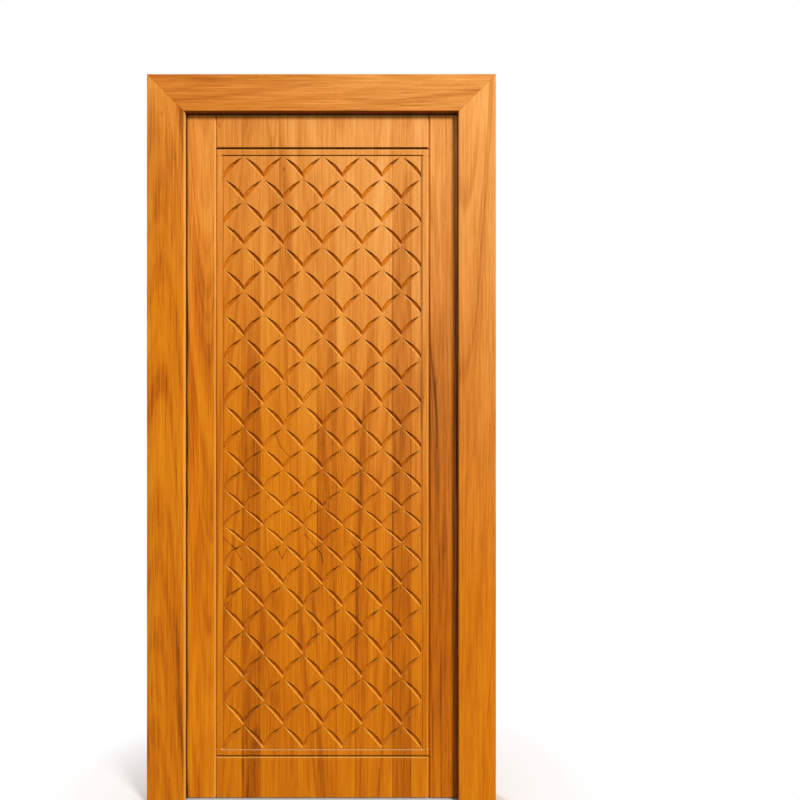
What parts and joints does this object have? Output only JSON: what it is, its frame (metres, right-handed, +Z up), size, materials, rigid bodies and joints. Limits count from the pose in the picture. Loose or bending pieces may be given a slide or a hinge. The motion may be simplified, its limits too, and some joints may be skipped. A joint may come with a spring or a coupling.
{
  "type": "teak door",
  "caption": "Side-hung teak door leaf of joined staves, chip-carved in a diamond field, in a rebated and mitred teak frame with brass butt hinges.",
  "frame": {"origin": "on the floor, in the middle of the part's width and depth", "axes": "+Z up, +X to the right seen from the carved face, +Y from the carved face to the back"},
  "size_m": [1.026, 0.0866, 2.146],
  "materials": {
    "leaf_teak": "oiled satin",
    "frame_teak": "oiled satin",
    "dowel_wood": "bare",
    "brass": "satin",
    "rubber": "matt black"
  },
  "bodies": {
    "frame": {"hanging_jamb": "frame_teak", "closing_jamb": "frame_teak", "head": "frame_teak", "mitre_dowels": "dowel_wood", "hanging_seal": "rubber", "closing_seal": "rubber", "head_seal": "rubber", "upper_hinge_frame_plate": "brass", "middle_hinge_frame_plate": "brass", "lower_hinge_frame_plate": "brass", "upper_hinge_pin": "brass", "middle_hinge_pin": "brass", "lower_hinge_pin": "brass", "frame_hinge_screws": "brass"},
    "leaf": {"hanging_stile": "leaf_teak", "closing_stile": "leaf_teak", "stave_01": "leaf_teak", "stave_02": "leaf_teak", "stave_03": "leaf_teak", "stave_04": "leaf_teak", "stave_05": "leaf_teak", "stave_06": "leaf_teak", "stave_07": "leaf_teak", "stave_08": "leaf_teak", "stave_09": "leaf_teak", "stave_10": "leaf_teak", "stave_11": "leaf_teak", "stave_12": "leaf_teak", "upper_hinge_leaf_plate": "brass", "middle_hinge_leaf_plate": "brass", "lower_hinge_leaf_plate": "brass", "leaf_hinge_screws": "brass"}
  },
  "joints": [
    {"name": "leaf_swing", "type": "hinge", "parent": "frame", "child": "leaf", "pos_m": [-0.4145, 0.0378, 0], "axis": [0, 0, 1], "range_deg": [0, 175]}
  ]
}
